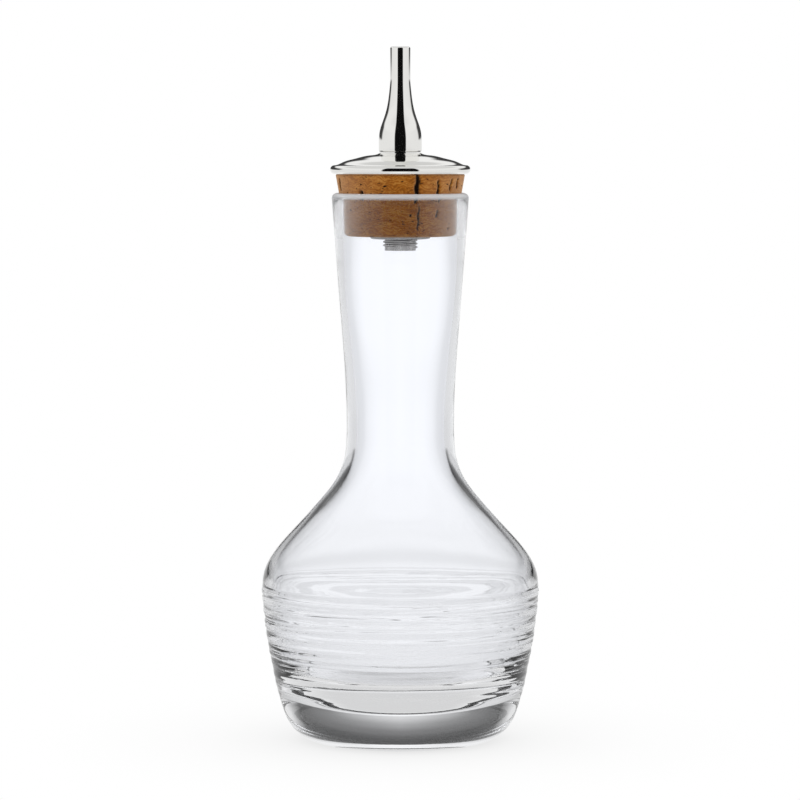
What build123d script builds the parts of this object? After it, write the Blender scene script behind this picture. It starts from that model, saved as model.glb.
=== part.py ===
# Bitters bottle: a thick glass bottle with irregular rings round its body, closed by a tapered cork.
# The cork carries a metal cap and a narrow metal spout, held by a threaded tube with a round nut below.
# Millimetres, +Z up, the origin at the centre of the flat foot.
import os

from build123d import *

os.makedirs("parts", exist_ok=True)

# Bottle, outside
glass_height = 125.0
body_radius = 31.5
heel_inset = 6.7
heel_height = 3.1
foot_inset = 5.8
heel_lean_share = 0.3
rib_zone_bottom = 11.3
rib_zone_top = 36.2
rib_rise = 0.3
widest_below_zone_top = 1.6
flank_drop = 3.45
flank_bend_share = 1.45
waist_radius = 12.23
waist_height = 71.5
neck_start_spread = 0.27
neck_start_rise = 10.5
neck_middle_spread_share = 0.387
neck_middle_rise_share = 0.398
mouth_outer_radius = 15.6
neck_flare_share = 0.075
lip_radius = 1.25

# Heights of the valleys between the rings, and how far each ring stands out, from the lowest up
rib_valley_shares = (0, 0.112, 0.197, 0.301, 0.386, 0.466, 0.550, 0.679, 0.793, 0.876, 1)
rib_rise_shares = (0.6, 0.8, 1, 0.7, 1, 0.8, 1, 0.75, 1, 0.9)

# Shoulder between the rings and the waist of the neck: radius and height, as shares of what it spans
shoulder_shares = (
    (0.958, 0.102),
    (0.837, 0.213),
    (0.585, 0.368),
    (0.331, 0.524),
    (0.118, 0.680),
    (0.056, 0.756),
    (0.019, 0.832),
    (0.008, 0.900),
)

# Bottle, inside
floor_thickness = 9.1
body_wall = 2.0
waist_wall = 2.13
lip_bore_round = 0.5
mouth_bore_depth = 2.6
mouth_bore_taper = 0.71
neck_bore_depth = 15.4
neck_bore_taper = 0.24
bore_flare_share = 0.02
cavity_bowl_shares = (
    (0.271, 0.020),
    (0.407, 0.051),
    (0.525, 0.090),
    (0.627, 0.125),
    (0.749, 0.173),
    (0.847, 0.247),
    (0.915, 0.365),
    (0.959, 0.525),
    (0.988, 0.741),
)
cavity_shoulder_shares = (
    (0.985, 0.114),
    (0.897, 0.206),
    (0.665, 0.352),
    (0.407, 0.501),
    (0.155, 0.661),
    (0.026, 0.829),
)

# Cork
cork_above_mouth = 4.3
cork_depth = 9.7
cork_top_flare = 0.7
cork_mouth_swell = 0.1
cork_bottom_taper = 0.31
cork_bottom_round = 1.0
cork_gap = 0.08

# Threaded tube, M8 x 0.75
thread_diameter = 7.9
thread_pitch = 0.75
thread_depth = 0.42
thread_crest_shares = (0.375, 0.625)
tube_bore = 5.2
thread_runout = 0.4
tube_below_nut = 2.5
thread_gap = 0.05

# Clamp nut
nut_diameter = 13.7
nut_thickness = 1.8
nut_recess = 1.1
nut_edge_round = 0.35
nut_gap = 0.05

# Cap
cap_diameter = 31.9
cap_bead_radius = 1.0
cap_wall = 0.9
cap_land_width = 1.6
collar_diameter = 9.5
cap_height = 5.0
collar_height = 0.3
dome_shares = ((0.809, 0.26), (0.554, 0.54), (0.230, 0.82))
dome_end_slope_share = 0.6

# Spout
spout_length = 23.8
seat_gap = 0.05
bulb_diameter = 9.8
bulb_height = 2.4
bulb_edge_round = 0.35
tip_diameter = 4.58
tip_length = 7.2
tip_chamfer = 0.55
orifice_diameter = 2.4
orifice_length = 9.0
socket_depth = 4.2
tube_end_gap = 0.3
throat_diameter = 4.4
throat_height = 9.5

# Spout flare between the tip tube and the bulb: radius and height, as shares of what it spans
flare_shares = ((0.08, 0.79), (0.33, 0.50), (0.66, 0.31), (0.86, 0.20))

# Heights and radii of the bottle that follow from these
heel_radius = body_radius - heel_inset
foot_radius = heel_radius - foot_inset
widest_height = rib_zone_top - widest_below_zone_top
lip_height = glass_height - lip_radius
neck_start_radius = waist_radius + neck_start_spread
neck_start_height = waist_height + neck_start_rise
neck_middle_radius = neck_start_radius + neck_middle_spread_share * (mouth_outer_radius - neck_start_radius)
neck_middle_height = neck_start_height + neck_middle_rise_share * (lip_height - neck_start_height)
cavity_radius = body_radius - body_wall
waist_bore_radius = waist_radius - waist_wall
lip_top_radius = mouth_outer_radius - lip_radius
lip_bore_radius = lip_top_radius - lip_bore_round
lip_bore_height = glass_height - lip_bore_round
mouth_bore_radius = lip_bore_radius - mouth_bore_taper
mouth_bore_height = glass_height - mouth_bore_depth
neck_bore_radius = mouth_bore_radius - neck_bore_taper
neck_bore_height = glass_height - neck_bore_depth

# Heights and radii that the other pieces share
cork_top = glass_height + cork_above_mouth
cork_bottom = glass_height - cork_depth
nut_top = cork_bottom + nut_recess
nut_bottom = nut_top - nut_thickness
tube_bottom = nut_bottom - tube_below_nut
collar_top = cork_top + cap_height
spout_bottom = collar_top + seat_gap
spout_top = spout_bottom + spout_length
tube_top = spout_bottom + socket_depth - tube_end_gap
thread_radius = thread_diameter / 2
thread_hole_radius = thread_radius + thread_gap


def flank_radius(height):
    """Radius of the body at the bottom of the valleys between the rings."""
    below_widest = max(0, widest_height - height)
    share = below_widest / (widest_height - rib_zone_bottom)
    return body_radius - flank_drop * share**flank_bend_share


def spanned(shares, radii, heights):
    """Points from shares, where the pair radii and the pair heights give what 0 and 1 stand for."""
    width = radii[1] - radii[0]
    rise = heights[1] - heights[0]
    return [(radii[0] + across * width, heights[0] + up * rise) for across, up in shares]


# Glass bottle: one wall from the heavy foot to the rounded lip, turned about the axis
valley_heights = [rib_zone_bottom + share * (rib_zone_top - rib_zone_bottom) for share in rib_valley_shares]
valleys = [(flank_radius(height), height) for height in valley_heights]
shoulder = spanned(shoulder_shares, (waist_radius, valleys[-1][0]), (rib_zone_top, waist_height))
cavity_bowl = spanned(cavity_bowl_shares, (0, cavity_radius), (floor_thickness, widest_height))
cavity_shoulder = spanned(
    cavity_shoulder_shares,
    (waist_bore_radius, cavity_radius),
    (widest_height, waist_height),
)

with BuildPart() as bottle:
    with BuildSketch(Plane.XZ):
        with BuildLine():
            Line((0, 0), (foot_radius, 0))
            Spline(
                (foot_radius, 0),
                (heel_radius, heel_height),
                valleys[0],
                tangents=((1, 0), (heel_lean_share, 1)),
            )
            for low, high, rise_share in zip(valleys, valleys[1:], rib_rise_shares):
                crest = ((low[0] + high[0]) / 2 + rib_rise * rise_share, (low[1] + high[1]) / 2)
                ThreePointArc(low, crest, high)
            Spline(valleys[-1], *shoulder, (waist_radius, waist_height), tangents=((0, 1), (0, 1)))
            Spline(
                (waist_radius, waist_height),
                (neck_start_radius, neck_start_height),
                (neck_middle_radius, neck_middle_height),
                (mouth_outer_radius, lip_height),
                tangents=((0, 1), (neck_flare_share, 1)),
            )
            RadiusArc((mouth_outer_radius, lip_height), (lip_top_radius, glass_height), -lip_radius)
            RadiusArc((lip_top_radius, glass_height), (lip_bore_radius, lip_bore_height), -lip_bore_round)
            Line((lip_bore_radius, lip_bore_height), (mouth_bore_radius, mouth_bore_height))
            Line((mouth_bore_radius, mouth_bore_height), (neck_bore_radius, neck_bore_height))
            Spline(
                (neck_bore_radius, neck_bore_height),
                (waist_bore_radius, waist_height),
                tangents=((-bore_flare_share, -1), (0, -1)),
            )
            Spline(
                (waist_bore_radius, waist_height),
                *reversed(cavity_shoulder),
                (cavity_radius, widest_height),
                tangents=((0, -1), (0, -1)),
            )
            Spline(
                (cavity_radius, widest_height),
                *reversed(cavity_bowl),
                (0, floor_thickness),
                tangents=((0, -1), (-1, 0)),
            )
            Line((0, floor_thickness), (0, 0))
        make_face()
    revolve(axis=Axis.Z)
bottle.part.label = "bottle"
export_step(bottle.part, "parts/bottle.step")

# Cork: a taper that stands out of the mouth and is squeezed to the bore below it
squeezed_radius = mouth_bore_radius - cork_gap
cork_mouth_radius = lip_bore_radius + cork_mouth_swell
cork_top_radius = cork_mouth_radius + cork_top_flare
cork_bottom_radius = squeezed_radius - cork_bottom_taper
with BuildPart() as cork:
    with BuildSketch(Plane.XZ):
        with BuildLine():
            Line((0, cork_bottom), (cork_bottom_radius - cork_bottom_round, cork_bottom))
            RadiusArc(
                (cork_bottom_radius - cork_bottom_round, cork_bottom),
                (cork_bottom_radius, cork_bottom + cork_bottom_round),
                -cork_bottom_round,
            )
            Line((cork_bottom_radius, cork_bottom + cork_bottom_round), (squeezed_radius, mouth_bore_height))
            Line((squeezed_radius, mouth_bore_height), (cork_mouth_radius, glass_height))
            Line((cork_mouth_radius, glass_height), (cork_top_radius, cork_top))
            Line((cork_top_radius, cork_top), (0, cork_top))
            Line((0, cork_top), (0, cork_bottom))
        make_face()
    revolve(axis=Axis.Z)
    with BuildSketch(Plane.XY.offset(cork_bottom)):
        Circle(thread_hole_radius)
    extrude(amount=cork_top - cork_bottom, mode=Mode.SUBTRACT)
    with BuildSketch(Plane.XY.offset(cork_bottom)):
        Circle(nut_diameter / 2 + nut_gap)
    extrude(amount=nut_recess, mode=Mode.SUBTRACT)
cork.part.label = "cork"
export_step(cork.part, "parts/cork.step")


# Threaded tube: the thread's crests and roots run round it from end to end
thread_turns = int((tube_top - tube_bottom - 2 * thread_runout) / thread_pitch)
thread_start = (tube_top + tube_bottom - thread_turns * thread_pitch) / 2
root_radius = thread_radius - thread_depth
with BuildPart() as threaded_tube:
    with BuildSketch(Plane.XZ):
        with BuildLine():
            outline = [(tube_bore / 2, tube_bottom), (root_radius, tube_bottom), (root_radius, thread_start)]
            for turn in range(thread_turns):
                turn_bottom = thread_start + turn * thread_pitch
                for share in thread_crest_shares:
                    outline.append((thread_radius, turn_bottom + share * thread_pitch))
                outline.append((root_radius, turn_bottom + thread_pitch))
            outline += [(root_radius, tube_top), (tube_bore / 2, tube_top)]
            Polyline(*outline, close=True)
        make_face()
    revolve(axis=Axis.Z)
threaded_tube.part.label = "threaded_tube"
export_step(threaded_tube.part, "parts/threaded_tube.step")

# Clamp nut: a round nut that has drawn itself into the underside of the cork
with BuildPart() as clamp_nut:
    with BuildSketch(Plane.XY.offset(nut_bottom)):
        Circle(nut_diameter / 2)
        Circle(thread_hole_radius, mode=Mode.SUBTRACT)
    extrude(amount=nut_thickness)
    fillet(clamp_nut.edges().group_by(Axis.Z)[0].sort_by(SortBy.RADIUS)[-1], nut_edge_round)
clamp_nut.part.label = "clamp_nut"
export_step(clamp_nut.part, "parts/clamp_nut.step")

# Cap: a shallow dome with a beaded rim and a short collar, hollow over the cork
bead_centre_radius = cap_diameter / 2 - cap_bead_radius
bead_top = cork_top + 2 * cap_bead_radius
collar_bottom = collar_top - collar_height
dome_points = spanned(dome_shares, (collar_diameter / 2, bead_centre_radius), (bead_top, collar_bottom))
dome_end = (collar_diameter / 2, collar_bottom)
inner_dome = [(radius, height - cap_wall) for radius, height in dome_points]
with BuildPart() as cap:
    with BuildSketch(Plane.XZ):
        with BuildLine():
            RadiusArc(
                (bead_centre_radius, cork_top),
                (cap_diameter / 2, cork_top + cap_bead_radius),
                -cap_bead_radius,
            )
            RadiusArc(
                (cap_diameter / 2, cork_top + cap_bead_radius),
                (bead_centre_radius, bead_top),
                -cap_bead_radius,
            )
            Spline(
                (bead_centre_radius, bead_top),
                *dome_points,
                dome_end,
                tangents=((-1, 0), (-1, dome_end_slope_share)),
            )
            Polyline(
                dome_end,
                (collar_diameter / 2, collar_top),
                (thread_hole_radius, collar_top),
                (thread_hole_radius, collar_bottom - cap_wall),
                *reversed(inner_dome),
                (bead_centre_radius - cap_land_width, cork_top),
                (bead_centre_radius, cork_top),
            )
        make_face()
    revolve(axis=Axis.Z)
cap.part.label = "cap"
export_step(cap.part, "parts/cap.step")

# Spout: a slender tube that swells to a bulb, which screws on the tube and seats on the collar
bulb_radius = bulb_diameter / 2
tip_radius = tip_diameter / 2
flare_bottom = spout_bottom + bulb_height
flare_top = spout_top - tip_length
flare = spanned(flare_shares, (tip_radius, bulb_radius), (flare_bottom, flare_top))
socket_top = spout_bottom + socket_depth
with BuildPart() as spout:
    with BuildSketch(Plane.XZ):
        with BuildLine():
            Line((thread_hole_radius, spout_bottom), (bulb_radius - bulb_edge_round, spout_bottom))
            RadiusArc(
                (bulb_radius - bulb_edge_round, spout_bottom),
                (bulb_radius, spout_bottom + bulb_edge_round),
                -bulb_edge_round,
            )
            Line((bulb_radius, spout_bottom + bulb_edge_round), (bulb_radius, flare_bottom))
            Spline(
                (bulb_radius, flare_bottom),
                *reversed(flare),
                (tip_radius, flare_top),
                tangents=((0, 1), (0, 1)),
            )
            Polyline(
                (tip_radius, flare_top),
                (tip_radius, spout_top - tip_chamfer),
                (tip_radius - tip_chamfer, spout_top),
                (orifice_diameter / 2, spout_top),
                (orifice_diameter / 2, spout_top - orifice_length),
                (throat_diameter / 2, spout_bottom + throat_height),
                (throat_diameter / 2, socket_top),
                (thread_hole_radius, socket_top),
                (thread_hole_radius, spout_bottom),
            )
        make_face()
    revolve(axis=Axis.Z)
spout.part.label = "spout"
export_step(spout.part, "parts/spout.step")

print("overall height", round(spout_top, 2), "widest", round(bottle.part.bounding_box().size.X, 2))
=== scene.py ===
import math
import random

import bmesh
import bpy
import numpy as np
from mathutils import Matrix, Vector


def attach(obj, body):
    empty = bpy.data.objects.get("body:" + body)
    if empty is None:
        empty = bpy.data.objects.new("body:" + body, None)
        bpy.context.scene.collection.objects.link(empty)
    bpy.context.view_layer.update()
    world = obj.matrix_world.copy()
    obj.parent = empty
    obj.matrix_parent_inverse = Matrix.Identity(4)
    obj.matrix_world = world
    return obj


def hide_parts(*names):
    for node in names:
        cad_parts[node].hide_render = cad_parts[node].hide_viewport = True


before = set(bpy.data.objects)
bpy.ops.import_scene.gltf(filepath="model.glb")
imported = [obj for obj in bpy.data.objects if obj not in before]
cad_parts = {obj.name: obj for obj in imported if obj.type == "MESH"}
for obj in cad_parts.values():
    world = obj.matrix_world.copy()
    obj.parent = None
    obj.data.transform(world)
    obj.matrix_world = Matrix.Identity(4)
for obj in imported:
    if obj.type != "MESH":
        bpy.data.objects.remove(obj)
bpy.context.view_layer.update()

mm = 0.001

# Camera: a long lens in front of the bottle, a little above its cap and looking slightly down.
# The frame is 800 pixels high, and a pixel of it covers as much of the bottle as the photograph's does.
camera_distance = 930 * mm
camera_height = 144 * mm
aim_height = 77.82 * mm
pixel_size = 0.2281 * mm
frame_pixels = 800
axis_pixel = 400.3
sensor_width = 36.0
farthest_seen = 20.0

sight_line = Vector((0, camera_distance, aim_height - camera_height))
camera_data = bpy.data.cameras.new("camera")
camera_data.sensor_width = sensor_width
camera_data.lens = sensor_width * sight_line.length / (frame_pixels * pixel_size)
camera_data.clip_end = farthest_seen
camera = bpy.data.objects.new("camera", camera_data)
camera.location = ((frame_pixels / 2 - axis_pixel) * pixel_size, -camera_distance, camera_height)
camera.rotation_euler = sight_line.to_track_quat("-Z", "Y").to_euler()
bpy.context.scene.collection.objects.link(camera)
bpy.context.scene.camera = camera

# Bottle: one piece of thick clear glass with a heavy solid base, ground on its lip.
# Rings of uneven height and width run round its body, and some wander into each other. A pale matt layer in
# the glass paints sheen on their crests, a highlight on the lip and a reflection round the cork in the
# mouth.
body_radius = 31.5
foot_radius = 19.0
heel = (24.8, 3.1)
heel_lean = (0.3, 1)
rib_bottom = 11.3
rib_top = 36.2
widest_height = 34.6
flank_drop = 3.45
flank_bend = 1.45
waist = (12.23, 71.5)
shoulder_points = (
    (30.69, 39.8), (28.36, 43.7), (23.5, 49.2), (18.61, 54.7), (14.5, 60.2), (13.31, 62.9), (12.6, 65.6),
    (12.38, 68.0),
)
neck_points = ((12.5, 82.0), (13.7, 98.6))
neck_flare = (0.075, 1)
mouth_radius = 15.6
glass_height = 125.0
lip_radius = 1.25
lip_bore = 13.85
lip_bore_steps = 5
mouth_bore = (13.14, 122.4)
neck_bore = (12.9, 109.6)
neck_bore_taper = (-0.02, -1)
waist_bore = (10.1, 71.5)
cavity_shoulder_points = (
    (10.6, 65.2), (13.1, 59.0), (18.0, 53.1), (23.0, 47.6), (27.5, 42.2), (29.2, 38.8),
)
cavity_points = (
    (29.5, 34.6), (29.15, 28.0), (28.29, 22.5), (26.99, 18.4), (24.99, 15.4), (22.1, 13.51), (18.5, 12.3),
    (15.49, 11.4), (12.01, 10.4), (8.0, 9.61), (0, 9.1),
)
rib_segments = 240
outline_step = 0.7
cavity_step = 0.9
neck_step = 2.0
rib_step = 0.16
seam_gap = 0.002

# Rings: their heights, and the least and the most of rise, half width and wander for each of them
crest_heights = (12.9, 15.4, 17.9, 20.2, 22.1, 24.3, 26.8, 29.9, 32.2, 34.3)
faint_heights = (14.2, 19.1, 23.2, 25.6, 28.3, 31.1, 33.2)
fine_heights = np.linspace(12.2, 35.4, 16)
ring_kinds = (
    (crest_heights, (0.75, 1), (0.6, 0.85), (0.15, 0.45)),
    (faint_heights, (0.3, 0.6), (0.35, 0.5), (0.5, 1.1)),
    (fine_heights, (0.12, 0.32), (0.18, 0.3), (0.3, 1.0)),
)
slow_share = 0.65
quick_share = 0.35
quick_waves = 3
swell_share = 0.2
swell_waves = 2
ring_reach = 3
rib_rise = 0.28
rib_overrun = 1.5
rib_fade = 1.2
rib_skin = 0.7
lowest_rise = 0.55
full_rise_height = 12


def through(points, start, end, step):
    """A smooth line through points (radius, height), leaving along start and arriving along end."""
    places = np.array(points, float)
    chords = np.linalg.norm(np.diff(places, axis=0), axis=1)
    count = len(places)
    system = np.zeros((count, count))
    wanted = np.zeros((count, 2))
    system[0, 0] = system[-1, -1] = 1
    wanted[0] = np.array(start) / np.linalg.norm(start)
    wanted[-1] = np.array(end) / np.linalg.norm(end)
    for i in range(1, count - 1):
        before, after = chords[i - 1], chords[i]
        system[i, i - 1 : i + 2] = after, 2 * (before + after), before
        rise_before = (places[i] - places[i - 1]) / before
        rise_after = (places[i + 1] - places[i]) / after
        wanted[i] = 3 * (after * rise_before + before * rise_after)
    slopes = np.linalg.solve(system, wanted)
    line = []
    for i, chord in enumerate(chords):
        for t in np.linspace(0, 1, max(2, math.ceil(chord / step) + 1))[:-1]:
            line.append(
                (1 + 2 * t) * (1 - t) ** 2 * places[i]
                + t * (1 - t) ** 2 * chord * slopes[i]
                + t**2 * (3 - 2 * t) * places[i + 1]
                + t**2 * (t - 1) * chord * slopes[i + 1]
            )
    return line + [places[-1]]


def quarter(centre, radius, first_angle, last_angle, steps=8):
    """Points on an arc in the radius and height plane, between two angles in degrees."""
    return [
        (centre[0] + radius * math.cos(math.radians(a)), centre[1] + radius * math.sin(math.radians(a)))
        for a in np.linspace(first_angle, last_angle, steps + 1)
    ]


def turned(outline, segments):
    """The mesh that an outline of (radius, height) points makes when it is turned about the axis."""
    shape = bmesh.new()
    corners = [shape.verts.new((radius * mm, 0, height * mm)) for radius, height in outline]
    # An outline that starts on the axis ends there too, and any other closes on itself
    following = corners[1:] + corners[:1] if outline[0][0] > 0 else corners[1:]
    sides = [shape.edges.new(pair) for pair in zip(corners, following)]
    bmesh.ops.spin(
        shape,
        geom=corners + sides,
        cent=(0, 0, 0),
        axis=(0, 0, 1),
        angle=math.tau,
        steps=segments,
        use_merge=True,
    )
    bmesh.ops.remove_doubles(shape, verts=shape.verts, dist=seam_gap * mm)
    bmesh.ops.recalc_face_normals(shape, faces=shape.faces)
    for face in shape.faces:
        face.smooth = True
    return shape


def as_piece(name, shape, body, slot, *nodes):
    """The finished piece of a mesh: it rides on a body and stands for the CAD nodes, which it hides. Its
    slot is not used.
    """
    mesh = bpy.data.meshes.new(name)
    shape.to_mesh(mesh)
    shape.free()
    piece = bpy.data.objects.new(name, mesh)
    bpy.context.scene.collection.objects.link(piece)
    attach(piece, body)
    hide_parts(*nodes)
    return piece


def flank_radius(height):
    """Radius of the body between the rings."""
    share = max(0, widest_height - height) / (widest_height - rib_bottom)
    return body_radius - flank_drop * share**flank_bend


rib_heights = np.arange(rib_bottom, rib_top, rib_step)
flank = [(flank_radius(h), h) for h in rib_heights] + [(flank_radius(rib_top), rib_top)]
neck = [waist, *neck_points, (mouth_radius, glass_height - lip_radius)]
outer = [(0, 0), (foot_radius / 2, 0)]
outer += through([(foot_radius, 0), heel, flank[0]], (1, 0), heel_lean, outline_step)[:-1]
outer += flank[:-1]
outer += through([flank[-1], *shoulder_points, waist], (0, 1), (0, 1), outline_step)[:-1]
outer += through(neck, (0, 1), neck_flare, neck_step)[:-1]
outer += quarter((mouth_radius - lip_radius, glass_height - lip_radius), lip_radius, 0, 90)[:-1]
lip_bore_round = mouth_radius - lip_radius - lip_bore
lip_bore_centre = (lip_bore + lip_bore_round, glass_height - lip_bore_round)
outer += quarter(lip_bore_centre, lip_bore_round, 90, 180, lip_bore_steps)

cavity_shoulder = [waist_bore, *cavity_shoulder_points, cavity_points[0]]
inner = [mouth_bore]
inner += through([neck_bore, waist_bore], neck_bore_taper, (0, -1), neck_step)[:-1]
inner += through(cavity_shoulder, (0, -1), (0, -1), cavity_step)[:-1]
inner += through(cavity_points, (0, -1), (-1, 0), cavity_step)

draw = random.Random(11)
ribs = []
for heights, rises, widths, wanders in ring_kinds:
    for height in heights:
        ribs.append((height, draw.uniform(*rises), draw.uniform(*widths), draw.uniform(*wanders)))
ribs = [(*rib, draw.uniform(0, math.tau), draw.uniform(0, math.tau)) for rib in ribs]


def ring_rise(angle, height):
    """How far the rings stand out from the body there, as a share of the full rise."""
    highest = 0
    for crest, rise, width, wander, first_phase, second_phase in ribs:
        slow = slow_share * math.sin(angle + first_phase)
        quick = quick_share * math.sin(quick_waves * angle + second_phase)
        middle = crest + wander * (slow + quick)
        swell = 1 - swell_share + swell_share * math.sin(swell_waves * angle + second_phase)
        away = abs(height - middle) / width
        if away < ring_reach:
            highest += rise * swell * math.exp(-away * away) * (1 - highest)
    return highest


bottle_shape = turned(outer + inner, rib_segments)
crest_layer = bottle_shape.verts.layers.float.new("crest")
ribs_end = rib_top + rib_overrun
for vertex in bottle_shape.verts:
    height = vertex.co.z / mm
    radius = math.hypot(vertex.co.x, vertex.co.y) / mm
    if rib_bottom < height < ribs_end and radius > flank_radius(height) - rib_skin:
        angle = math.atan2(vertex.co.y, vertex.co.x)
        fade = min(1, (height - rib_bottom) / rib_fade, (ribs_end - height) / rib_fade)
        fade *= min(1, max(lowest_rise, (height - rib_bottom) / full_rise_height))
        vertex[crest_layer] = fade * ring_rise(angle, height)
        grown = 1 + rib_rise * vertex[crest_layer] / radius
        vertex.co.x *= grown
        vertex.co.y *= grown
bottle_glass = as_piece("bottle_glass", bottle_shape, "bottle", "glass", "bottle")


class Value:
    """A socket in a finish, which sums and products can be written with."""

    def __init__(self, finish, socket):
        self.finish = finish
        self.socket = socket

    def maths(self, operation, first, second):
        return self.finish.node("ShaderNodeMath", {"operation": operation}, {0: first, 1: second})

    def __add__(self, other):
        return self.maths("ADD", self, other)

    def __sub__(self, other):
        return self.maths("SUBTRACT", self, other)

    def __rsub__(self, other):
        return self.maths("SUBTRACT", other, self)

    def __mul__(self, other):
        return self.maths("MULTIPLY", self, other)

    __radd__ = __add__
    __rmul__ = __mul__


class Finish:
    """A procedural finish under construction, of a material or of the world around the bottle."""

    def __init__(self, owner):
        self.owner = owner
        self.owner.use_nodes = True
        self.tree = self.owner.node_tree
        self.tree.nodes.clear()

    def node(self, kind, settings=None, inputs=None, output=0):
        """Adds a node with its settings and inputs, and gives one of its outputs as a Value."""
        added = self.tree.nodes.new(kind)
        for name, value in (settings or {}).items():
            if name == "stops":
                ramp = added.color_ramp
                while len(ramp.elements) < len(value):
                    ramp.elements.new(1)
                for element, (position, colour) in zip(ramp.elements, value):
                    shown = colour if isinstance(colour, tuple) else (colour, colour, colour)
                    element.position = position
                    element.color = (*shown, 1)
            else:
                setattr(added, name, value)
        for name, value in (inputs or {}).items():
            if isinstance(value, Value):
                self.tree.links.new(value.socket, added.inputs[name])
            else:
                added.inputs[name].default_value = value
        return Value(self, added.outputs[output])

    def surface(self, shader, kind="ShaderNodeOutputMaterial"):
        """Ends the finish with a shader, and gives the material or world that it belongs to."""
        end = self.tree.nodes.new(kind)
        self.tree.links.new(shader.socket, end.inputs["Surface"])
        return self.owner


def noise(finish, where, scale, detail=3.0, roughness=0.5):
    """A noise value over a piece, for a scale in features per metre."""
    inputs = {"Vector": where, "Scale": scale, "Detail": detail, "Roughness": roughness}
    return finish.node("ShaderNodeTexNoise", {}, inputs)


def graded(finish, value, start, end, least=0.0, most=1.0, course="LINEAR"):
    """A value that goes from least to most while the given one goes from start to end."""
    ends = {"Value": value, "From Min": start, "From Max": end, "To Min": least, "To Max": most}
    return finish.node("ShaderNodeMapRange", {"interpolation_type": course}, ends)


# Finish of the glass: its tint by height, the relief of its surface, and where and how much a pale matt
# layer paints sheen, a highlight and a reflection on it
# Painted shade: the body's tint is greyer than the neck's, to dim the glass of the body
shaded_body_tint = (0.93, 0.937, 0.955)
neck_tint = (0.965, 0.975, 1.0)
mirror_tint = (0.35, 0.35, 0.35, 1)
refractive_index = 1.5
wave_scale = 90
seed_scale = 1400
seed_share = 0.03
streak_scale = 170
streak_squeeze = (1, 1, 12)
streak_share = 0.1
crisp_start = 19
crisp_end = 27
crispness = 2.5
relief_strength = 0.05
relief_depth = 1.0 * mm
# A pale matt layer mixed into the clear glass: painted sheen on the ring crests, a painted highlight on the
# lip and a painted reflection round the cork
painted_sheen_colour = (0.92, 0.93, 0.95, 1)
painted_sheen_roughness = 0.35
sheen_streak_ends = (0.5, 0.62)
painted_crest_sheen = 0.2
painted_crest_sheen_sideways = 0.6
sideways_blend = 0.5
lip_ground_and_highlight_start = glass_height - 1.5
lip_ground_and_highlight_end = glass_height - 0.7
lip_roughness = 0.15
painted_lip_highlight = 0.5
mouth_reflection_start = 114.5
mouth_reflection_end = 116
painted_mouth_reflection = 0.22

glass = Finish(bpy.data.materials.new("clear_glass"))
where = glass.node("ShaderNodeTexCoord", output="Object")
height = glass.node("ShaderNodeSeparateXYZ", {}, {0: where}, output="Z")
# The tint turns from the body's greyer, painted shade to the neck's between the widest point and the waist
thinner = graded(glass, height, widest_height * mm, waist[1] * mm, course="SMOOTHSTEP")
tint = glass.node("ShaderNodeValToRGB", {"stops": [(0, shaded_body_tint), (1, neck_tint)]}, {"Fac": thinner})

level_lines = glass.node("ShaderNodeMapping", {}, {"Vector": where, "Scale": streak_squeeze})
waves = noise(glass, where, wave_scale, detail=1.0)
seeds = noise(glass, where, seed_scale, detail=1.0)
streaks = noise(glass, level_lines, streak_scale, detail=2.0)
crest = glass.node("ShaderNodeAttribute", {"attribute_name": "crest"}, output="Fac")
crisp = graded(glass, height, crisp_start * mm, crisp_end * mm, most=crispness)
relief = waves + seeds * seed_share + streaks * crest * streak_share + crest * crisp
uneven = glass.node(
    "ShaderNodeBump", {}, {"Height": relief, "Strength": relief_strength, "Distance": relief_depth}
)

# Painted sheen on the ring crests: pale where the streaks run bright, and more towards the flanks
painted_sheen_streaks = graded(glass, streaks, *sheen_streak_ends)
sideways = glass.node("ShaderNodeLayerWeight", {}, {"Blend": sideways_blend}, output="Facing")
at_lip = graded(glass, height, lip_ground_and_highlight_start * mm, lip_ground_and_highlight_end * mm)
at_mouth = graded(glass, height, mouth_reflection_start * mm, mouth_reflection_end * mm)
painted_sheen = crest * painted_sheen_streaks * (sideways * painted_crest_sheen_sideways + painted_crest_sheen)
# Painted highlight on the lip, and a painted reflection towards the sides of the glass round the cork, from
# 116 mm up
painted_sheen = painted_sheen + at_lip * painted_lip_highlight + at_mouth * sideways * painted_mouth_reflection
clear_shader = glass.node(
    "ShaderNodeBsdfPrincipled",
    {},
    {
        "Base Color": tint,
        "Roughness": at_lip * lip_roughness,
        "IOR": refractive_index,
        "Transmission Weight": 1.0,
        "Specular Tint": mirror_tint,
        "Normal": uneven,
    },
)
# The painted sheen layer, mixed with the clear glass below
painted_sheen_shader = glass.node(
    "ShaderNodeBsdfPrincipled", {}, {"Base Color": painted_sheen_colour, "Roughness": painted_sheen_roughness}
)
glass_shader = glass.node("ShaderNodeMixShader", {}, {0: painted_sheen, 1: clear_shader, 2: painted_sheen_shader})
bottle_glass.data.materials.append(glass.surface(glass_shader))

# Cork: a tapered natural cork, bored for the tube and squeezed into the mouth. The nut has pressed a recess
# into its underside. Dark cracks and pits run down its side, which is cut across the layers of the bark.
cork_bore_radius = 4.0
cork_recess = (6.9, 116.4)
cork_bottom = 115.3
cork_bottom_radius = 12.75
cork_squeezed = (13.06, 122.4)
cork_mouth = (13.95, 125.0)
cork_top = (14.65, 129.3)
cork_round = 1.0
cork_edge_round = 0.35
cork_edge_steps = 4
round_steps = 6
cork_segments = 320
cork_row = 0.16
cork_side_radius = 11

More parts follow.
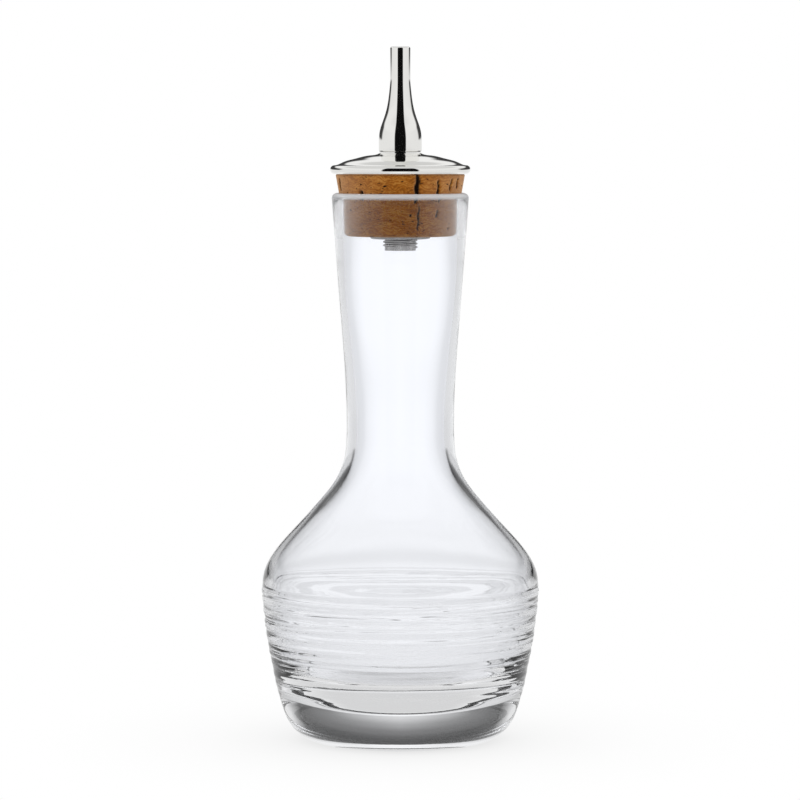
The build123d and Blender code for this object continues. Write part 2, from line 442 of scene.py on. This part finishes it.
# Cracks: degrees from the front towards +X, height of the middle, half width, half length, depth, lean
cracks = [
    (15.5, 126.3, 0.42, 3.4, 0.9, 0.04),
    (14.0, 123.6, 0.22, 0.9, 0.5, 0.2),
    (17.5, 119.6, 0.22, 3.3, 0.5, 0.03),
    (37.5, 125.6, 0.26, 2.8, 0.7, -0.06),
    (37.0, 120.6, 0.20, 1.1, 0.5, 0.0),
    (53.0, 127.0, 0.22, 1.6, 0.6, 0.08),
    (64.0, 127.2, 0.30, 1.3, 0.6, -0.1),
    (10.0, 120.2, 0.28, 0.3, 0.4, 0.0),
    (52.0, 117.2, 0.24, 0.3, 0.4, 0.0),
    (-38.0, 124.6, 0.42, 1.3, 0.6, -0.1),
    (-73.0, 127.0, 0.40, 1.6, 0.7, 0.1),
]

# Cracks at the rear: how many, the arc that they share in degrees, and the least and the most of the rest
rear_crack_count = 16
rear_start = 100
rear_sweep = 160
rear_places = (0.1, 0.9)
rear_heights = (117, 127.5)
rear_half_widths = (0.18, 0.36)
rear_half_lengths = (0.3, 2.6)
rear_depths = (0.3, 0.7)
rear_leans = (-0.12, 0.12)

crack_waver = 0.12
crack_waver_rate = 2.3
crack_reach = 2.5
pit_start = 0.06
pit_full = 0.22

draw = random.Random(5)
for turn in range(rear_crack_count):
    cracks.append(
        (
            rear_start + rear_sweep * (turn + draw.uniform(*rear_places)) / rear_crack_count,
            draw.uniform(*rear_heights),
            draw.uniform(*rear_half_widths),
            draw.uniform(*rear_half_lengths),
            draw.uniform(*rear_depths),
            draw.uniform(*rear_leans),
        )
    )


def crack_depth(angle, height, radius):
    """How deep the cracks are there, in millimetres."""
    deepest = 0
    for middle, crack_height, half_width, half_length, depth, lean in cracks:
        up = (height - crack_height) / half_length
        if abs(up) >= 1:
            continue
        turn = (angle - math.radians(middle) + math.pi) % math.tau - math.pi
        waver = crack_waver * math.sin(crack_waver_rate * height + middle)
        across = (turn * radius - lean * (height - crack_height) - waver) / half_width
        if abs(across) < crack_reach:
            deepest = max(deepest, depth * math.exp(-across * across) * (1 - abs(up) ** 3))
    return deepest


lower_centre = (cork_bottom_radius - cork_round, cork_bottom + cork_round)
edge_centre = (cork_top[0] - cork_edge_round, cork_top[1] - cork_edge_round)
side = [
    (cork_bottom_radius, cork_bottom + cork_round),
    cork_squeezed,
    cork_mouth,
    (cork_top[0], cork_top[1] - cork_edge_round),
]
cork_outline = [(cork_bore_radius, cork_top[1]), (cork_bore_radius, cork_recess[1])]
cork_outline += [cork_recess, (cork_recess[0], cork_bottom)]
cork_outline += quarter(lower_centre, cork_round, -90, 0, round_steps)[:-1]
for (low_radius, low), (high_radius, high) in zip(side, side[1:]):
    rows = max(1, round((high - low) / cork_row))
    for row in range(rows):
        share = row / rows
        cork_outline.append((low_radius + share * (high_radius - low_radius), low + share * (high - low)))
cork_outline += quarter(edge_centre, cork_edge_round, 0, 90, cork_edge_steps)

cork_shape = turned(cork_outline, cork_segments)
pit_layer = cork_shape.verts.layers.float.new("pit")
for vertex in cork_shape.verts:
    radius = math.hypot(vertex.co.x, vertex.co.y) / mm
    height = vertex.co.z / mm
    if radius > cork_side_radius:
        angle = math.atan2(vertex.co.x, -vertex.co.y)
        depth = crack_depth(angle, height, radius)
        vertex[pit_layer] = min(1, max(0, depth - pit_start) / pit_full)
        shrink = 1 - depth / radius
        vertex.co.x *= shrink
        vertex.co.y *= shrink
cork_piece = as_piece("cork_stopper", cork_shape, "stopper", "cork", "cork")

# Finish of the cork: browns by patch, grain and layer, a paler rim as painted light from the sides, and
# near black in cracks and specks
cork_browns = [(0.28, (0.13, 0.039, 0.003)), (0.46, (0.31, 0.096, 0.006)), (0.64, (0.46, 0.195, 0.035))]
# Painted light: the colour the cork turns towards its outline, where light from the sides falls
painted_side_light_colour = (0.6, 0.38, 0.22, 1)
pit_colour = (0.012, 0.005, 0.003, 1)
cork_squeeze = (1, 1, 2.6)
patch_scale = 240
patch_share = 0.54
grain_scale = 1500
grain_share = 0.32
layer_scale = 420.0
layer_waver = 20.0
layer_share = 0.14
speck_scale = 700
speck_ends = (0.67, 0.73)
side_light_blend = 0.4
side_light_share = 0.75
grain_relief = 0.5
cork_relief_strength = 0.5
cork_relief_depth = 0.3 * mm
cork_roughness = 0.85
cork_shine = 0.1

cork_finish = Finish(bpy.data.materials.new("natural_cork"))
where = cork_finish.node("ShaderNodeTexCoord", output="Object")
pit = cork_finish.node("ShaderNodeAttribute", {"attribute_name": "pit"}, output="Fac")
squeezed = cork_finish.node("ShaderNodeMapping", {}, {"Vector": where, "Scale": cork_squeeze})
patches = noise(cork_finish, squeezed, patch_scale, detail=5.0, roughness=0.65)
grains = noise(cork_finish, where, grain_scale, roughness=0.6)
layers = cork_finish.node(
    "ShaderNodeTexWave",
    {"bands_direction": "Z"},
    {"Vector": where, "Scale": layer_scale, "Distortion": layer_waver, "Detail": 3.0, "Detail Scale": 0.9},
    output="Fac",
)
specks = graded(cork_finish, noise(cork_finish, squeezed, speck_scale, detail=1.0), *speck_ends)
dark = cork_finish.node("ShaderNodeMath", {"operation": "MAXIMUM"}, {0: pit, 1: specks})
# Painted light from the sides: paler as the surface turns away from the camera
painted_side_light = cork_finish.node("ShaderNodeLayerWeight", {}, {"Blend": side_light_blend}, output="Facing")
brown = patches * patch_share + grains * grain_share + layers * layer_share
colour = cork_finish.node("ShaderNodeValToRGB", {"stops": cork_browns}, {"Fac": brown})
for share, upper in ((painted_side_light * side_light_share, painted_side_light_colour), (dark, pit_colour)):
    inputs = {"Factor": share, 6: colour, 7: upper}
    colour = cork_finish.node("ShaderNodeMix", {"data_type": "RGBA"}, inputs, output=2)
rough = cork_finish.node(
    "ShaderNodeBump",
    {},
    {
        "Height": patches + grains * grain_relief,
        "Strength": cork_relief_strength,
        "Distance": cork_relief_depth,
    },
)
cork_shader = cork_finish.node(
    "ShaderNodeBsdfPrincipled",
    {},
    {
        "Base Color": colour,
        "Roughness": cork_roughness,
        "Specular IOR Level": cork_shine,
        "Normal": rough,
    },
)
cork_piece.data.materials.append(cork_finish.surface(cork_shader))

# Cap: a shallow dome of chrome-plated metal with a beaded rim, which sits on the cork's top.
# The tube passes through its middle, and the spout holds it down.
cap_bead_radius = 1.0
cap_bead_centre = (14.95, 130.3)
cap_bead_steps = 20
cap_collar_radius = 4.75
cap_collar_top = 134.3
cap_hole_radius = 4.0
cap_dome = ((14.95, 131.3), (13.0, 132.0), (10.4, 132.76), (7.1, 133.51), (4.75, 134.0))
cap_dome_end = (-1, 0.6)
cap_dome_step = 0.4
cap_wall = 0.9
cap_land_radius = 13.35
cap_segments = 192
turned_edge = math.radians(40)
chrome_colour = (0.93, 0.925, 0.9, 1)
cap_mark_scale = 160
cap_polish = (0.035, 0.075)

cap_outline = quarter(cap_bead_centre, cap_bead_radius, -90, 90, cap_bead_steps)[:-1]
cap_outline += through(cap_dome, (-1, 0), cap_dome_end, cap_dome_step)
cap_outline += [(cap_collar_radius, cap_collar_top), (cap_hole_radius, cap_collar_top)]
cap_outline += [(cap_hole_radius, cap_dome[-1][1] - cap_wall)]
cap_outline += [(radius, height - cap_wall) for radius, height in reversed(cap_dome[1:-1])]
cap_outline += [(cap_land_radius, cap_bead_centre[1] - cap_bead_radius)]
cap_piece = as_piece("cap_dome", turned(cap_outline, cap_segments), "stopper", "chrome", "cap")
cap_piece.data.set_sharp_from_angle(angle=turned_edge)


def metal_finish(name, colour, mark_scale, polish, squeeze=(1, 1, 1)):
    """Bare or plated metal, rougher and smoother by turns, in marks of a scale in features per metre."""
    metal = Finish(bpy.data.materials.new(name))
    where = metal.node("ShaderNodeTexCoord", output="Object")
    along = metal.node("ShaderNodeMapping", {}, {"Vector": where, "Scale": squeeze})
    roughness = graded(metal, noise(metal, along, mark_scale), 0.0, 1.0, *polish)
    look = {"Base Color": colour, "Metallic": 1.0, "Roughness": roughness}
    return metal.surface(metal.node("ShaderNodeBsdfPrincipled", {}, look))


cap_piece.data.materials.append(metal_finish("cap_chrome", chrome_colour, cap_mark_scale, cap_polish))

# Spout: a slender chrome-plated tube that swells to a bulb at its foot, with a fine bore.
# It screws onto the threaded tube and pinches the cap against the cork.
spout_bottom = 134.35
spout_top = 158.15
bulb_radius = 4.9
bulb_top = 136.75
bulb_round = 0.35
spout_socket_radius = 4.0
spout_socket_top = 138.55
flare_points = ((4.535, 139.59), (4.013, 141.15), (3.151, 143.85), (2.499, 147.97))
flare_step = 0.3
spout_tip = (2.29, 150.95)
tip_round = 0.5
spout_orifice = (1.2, 149.15)
spout_throat = (2.2, 143.85)
spout_segments = 128
spout_mark_scale = 200
spout_polish = (0.03, 0.07)

bulb_centre = (bulb_radius - bulb_round, spout_bottom + bulb_round)
spout_outline = [(spout_socket_radius, spout_bottom)]
spout_outline += quarter(bulb_centre, bulb_round, -90, 0, round_steps)
spout_outline += through([(bulb_radius, bulb_top), *flare_points, spout_tip], (0, 1), (0, 1), flare_step)
spout_outline += quarter((spout_tip[0] - tip_round, spout_top - tip_round), tip_round, 0, 90)
spout_outline += [(spout_orifice[0], spout_top), spout_orifice, spout_throat]
spout_outline += [(spout_throat[0], spout_socket_top), (spout_socket_radius, spout_socket_top)]
spout_piece = as_piece("pouring_spout", turned(spout_outline, spout_segments), "spout", "chrome", "spout")
spout_piece.data.set_sharp_from_angle(angle=turned_edge)
spout_chrome = metal_finish("spout_chrome", chrome_colour, spout_mark_scale, spout_polish)
spout_piece.data.materials.append(spout_chrome)

# Threaded tube: a steel tube with a fine M8 thread, which carries the liquid up through the cork.
# The thread is one ridge that winds round the tube from end to end.
tube_bottom = 112.1
tube_top = 138.25
tube_bore_radius = 2.6
tube_segments = 96
thread_root_radius = 3.53
thread_crest_radius = 3.95
thread_pitch = 0.75
thread_runout = 0.4
thread_steps = 40
thread_sunk = 0.06
thread_root_width = 0.62
thread_crest_width = 0.2
thread_edge = math.radians(30)
# Painted shade: the tube's colour is darker than bare steel, for its place under the cork inside the glass
tube_shaded_colour = (0.42, 0.41, 0.4, 1)
tube_mark_scale = 600
tube_polish = (0.22, 0.34)

tube_outline = [(tube_bore_radius, tube_bottom), (thread_root_radius, tube_bottom)]
tube_outline += [(thread_root_radius, tube_top), (tube_bore_radius, tube_top)]
tube_shape = turned(tube_outline, tube_segments)
thread_turns = int((tube_top - tube_bottom - 2 * thread_runout) / thread_pitch) - 1
thread_bottom = tube_bottom + thread_runout + thread_root_width / 2
ridge = [
    (thread_root_radius - thread_sunk, thread_bottom - thread_root_width / 2),
    (thread_crest_radius, thread_bottom - thread_crest_width / 2),
    (thread_crest_radius, thread_bottom + thread_crest_width / 2),
    (thread_root_radius - thread_sunk, thread_bottom + thread_root_width / 2),
]
corners = [tube_shape.verts.new((radius * mm, 0, height * mm)) for radius, height in ridge]
sides = [tube_shape.edges.new(pair) for pair in zip(corners, corners[1:] + corners[:1])]
wound = bmesh.ops.spin(
    tube_shape,
    geom=corners + sides,
    cent=(0, 0, 0),
    axis=(0, 0, 1),
    dvec=(0, 0, thread_pitch * mm / thread_steps),
    angle=math.tau * thread_turns,
    steps=thread_steps * thread_turns,
)
ends = [item for item in wound["geom_last"] if isinstance(item, bmesh.types.BMVert)]
tube_shape.faces.new(corners)
tube_shape.faces.new(ends)
bmesh.ops.recalc_face_normals(tube_shape, faces=tube_shape.faces)
tube_piece = as_piece("tube_with_thread", tube_shape, "stopper", "steel", "threaded_tube")
tube_piece.data.set_sharp_from_angle(angle=thread_edge)
tube_piece.data.materials.append(metal_finish("tube_steel", tube_shaded_colour, tube_mark_scale, tube_polish))

# Clamp nut: a round steel nut on the tube, drawn up into the soft underside of the cork.
# It is turned from bar, with its lower edge broken.
nut_radius = 6.85
nut_hole_radius = 4.0
nut_bottom = 114.6
nut_top = 116.4
nut_round = 0.35
nut_segments = 96
# Painted shade: the nut's colour is darker than bare steel, for its place under the cork inside the glass
nut_shaded_colour = (0.32, 0.31, 0.3, 1)
nut_mark_scale = 300
nut_mark_squeeze = (1, 1, 12)
nut_polish = (0.2, 0.32)

nut_outline = [(nut_hole_radius, nut_bottom)]
nut_outline += quarter((nut_radius - nut_round, nut_bottom + nut_round), nut_round, -90, 0, round_steps)
nut_outline += [(nut_radius, nut_top), (nut_hole_radius, nut_top)]
nut_piece = as_piece("nut_disc", turned(nut_outline, nut_segments), "stopper", "steel", "clamp_nut")
nut_piece.data.set_sharp_from_angle(angle=turned_edge)
nut_steel = metal_finish("nut_steel", nut_shaded_colour, nut_mark_scale, nut_polish, nut_mark_squeeze)
nut_piece.data.materials.append(nut_steel)

# Table top: a plain white round sheet that glows, which the camera sees as pure white but for a faint
# painted shadow.
# The glass and the metal see painted shade on it: darker under the base and at both sides of the bottle.
table_radius = 200 * mm
table_segments = 128
shade_under_base_level = 0.68
shade_beside_level = 0.72
lit_strip_level = 0.93
table_middle_width = 44 * mm
table_near_end = 12 * mm
table_far_start = 26 * mm
shadow_reach = 60 * mm
shadow_end = 110 * mm
shadow_depth = 0.25
shadow_samples = 8
white = (1, 1, 1, 1)

table_shape = bmesh.new()
bmesh.ops.create_circle(table_shape, cap_ends=True, segments=table_segments, radius=table_radius)
table_mesh = bpy.data.meshes.new("table_top")
table_shape.to_mesh(table_mesh)
table_shape.free()
table = bpy.data.objects.new("table_top", table_mesh)
bpy.context.scene.collection.objects.link(table)

table_finish = Finish(bpy.data.materials.new("white_table"))
straight = table_finish.node("ShaderNodeLightPath", output="Is Camera Ray")
where = table_finish.node("ShaderNodeTexCoord", output="Object")
out = table_finish.node("ShaderNodeVectorMath", {"operation": "LENGTH"}, {0: where}, output=1)
open_above = table_finish.node(
    "ShaderNodeAmbientOcclusion", {"samples": shadow_samples}, {"Distance": shadow_reach}, output="AO"
)
# Painted shadow seen by the camera: up to a quarter darker where ambient occlusion finds the sheet covered,
# gone by 110 mm out
near = graded(table_finish, out, shadow_end, 0.0)
seen_level = 1 - (1 - open_above) * near * shadow_depth
# Painted light and shade for glass and metal: a lit strip runs front to back through the middle, darker at
# the sides and under the base
beside = table_finish.node("ShaderNodeSeparateXYZ", {}, {0: where}, output="X") * (1 / table_middle_width)
middle = table_finish.node("ShaderNodeMath", {"operation": "EXPONENT"}, {0: beside * beside * -1.0})
lit = middle * (lit_strip_level - shade_beside_level) + shade_beside_level
away = graded(table_finish, out, table_near_end, table_far_start, course="SMOOTHSTEP")
hidden_level = away * lit + (1 - away) * shade_under_base_level
level = straight * seen_level + (1 - straight) * hidden_level
table_shader = table_finish.node("ShaderNodeEmission", {}, {"Color": white, "Strength": level})
table_mesh.materials.append(table_finish.surface(table_shader))

# Light: a white studio all round. Metal and glass mirror a black gap in front, where the camera stands.
# Through the glass shows a bright low backdrop, with darkness over it behind the bottle.
world = bpy.data.worlds.new("studio")
bpy.context.scene.world = world
studio = Finish(world)
straight = studio.node("ShaderNodeLightPath", output="Is Camera Ray")
through_glass = studio.node("ShaderNodeLightPath", output="Is Transmission Ray")
mirror = studio.node("ShaderNodeLightPath", output="Is Glossy Ray")
direction = studio.node("ShaderNodeTexCoord", output="Generated")
to_right = studio.node("ShaderNodeSeparateXYZ", {}, {0: direction}, output="X")
to_back = studio.node("ShaderNodeSeparateXYZ", {}, {0: direction}, output="Y")
to_top = studio.node("ShaderNodeSeparateXYZ", {}, {0: direction}, output="Z")

# Degrees round from the front, degrees from the nearest of front, sides and back, and degrees above level
in_degrees = 180 / math.pi
quarter_fold = 45.0
turn = studio.node("ShaderNodeMath", {"operation": "ARCTAN2"}, {0: to_right, 1: to_back * -1.0})
turn = studio.node("ShaderNodeMath", {"operation": "ABSOLUTE"}, {0: turn}) * in_degrees
off_axis = studio.node("ShaderNodeMath", {"operation": "PINGPONG"}, {0: turn, 1: quarter_fold})
rise = studio.node("ShaderNodeMath", {"operation": "ARCSINE"}, {0: to_top}) * in_degrees


def around(angle, *stops):
    """Brightness for an angle, from pairs of degrees and a level."""
    widest = stops[-1][0]
    brightest = max(level for degrees, level in stops)
    places = [(degrees / widest, level / brightest) for degrees, level in stops]
    return studio.node("ShaderNodeValToRGB", {"stops": places}, {"Fac": angle * (1 / widest)}) * brightest


def stacked(first, *steps):
    """Levels from the ground up. A step gives the height of its start, its softness and its level."""
    level = first
    for degrees, softness, upper in steps:
        share = graded(studio, rise, degrees - softness, degrees + softness, course="SMOOTHSTEP")
        level = level * (1 - share) + upper * share
    return level


# Mirrored: the black gap in front, and a dark band behind just above the backdrop
gap = ((0, 0.004), (29, 0.004))
mirrored = stacked(
    around(turn, (0, 0.8), (180, 0.9)),
    (-24, 3, around(turn, *gap, (32, 0.75), (150, 0.8), (180, 0.95))),
    (-6, 2, around(turn, *gap, (32, 0.82), (150, 0.82), (171, 0.9), (180, 1.0))),
    (1.5, 1.5, around(turn, *gap, (32, 0.85), (110, 0.8), (122, 0.05), (180, 0.05))),
    (19, 3, around(turn, *gap, (32, 0.85), (180, 0.9))),
    (36, 6, around(turn, *gap, (32, 0.75), (180, 0.65))),
    (58, 5, around(turn, (0, 0.75), (180, 0.65))),
)

# Seen through the glass: the backdrop, darker between its middle and its corners, and then the dark
open_sides = ((0, 1.0), (100, 1.0), (112, 0.75))
refracted = stacked(
    around(off_axis, (0, 0.92), (13, 0.8), (45, 0.74)),
    (-7, 2, around(off_axis, (0, 1.05), (5, 1.03), (9, 0.94), (13, 0.82), (25, 0.74), (45, 0.7))),
    (5, 2, around(turn, *open_sides, (134, 0.3), (142, 0.7), (168, 0.75), (180, 0.85))),
    (8.3, 2, around(turn, *open_sides, (134, 0.17), (150, 0.22), (168, 0.32), (180, 0.42))),
    (11.5, 2, around(turn, *open_sides, (134, 0.08), (150, 0.16), (180, 0.21))),
    (15.5, 2.5, around(turn, *open_sides, (134, 0.05), (180, 0.125))),
    (21, 3, around(turn, *open_sides, (134, 0.03), (180, 0.065))),
    (38, 4, around(off_axis, (0, 0.9), (45, 0.85))),
)

# Matt surfaces are lit evenly, and a little less from the front
soft = around(turn, (0, 0.85), (60, 1.0), (180, 1.0))
level = soft + (mirrored - soft) * mirror
level = level + (refracted - level) * through_glass
level = straight + level * (1 - straight)
studio_shader = studio.node("ShaderNodeBackground", {}, {"Color": white, "Strength": level})
studio.surface(studio_shader, "ShaderNodeOutputWorld")

bpy.context.scene.view_settings.view_transform = "Standard"
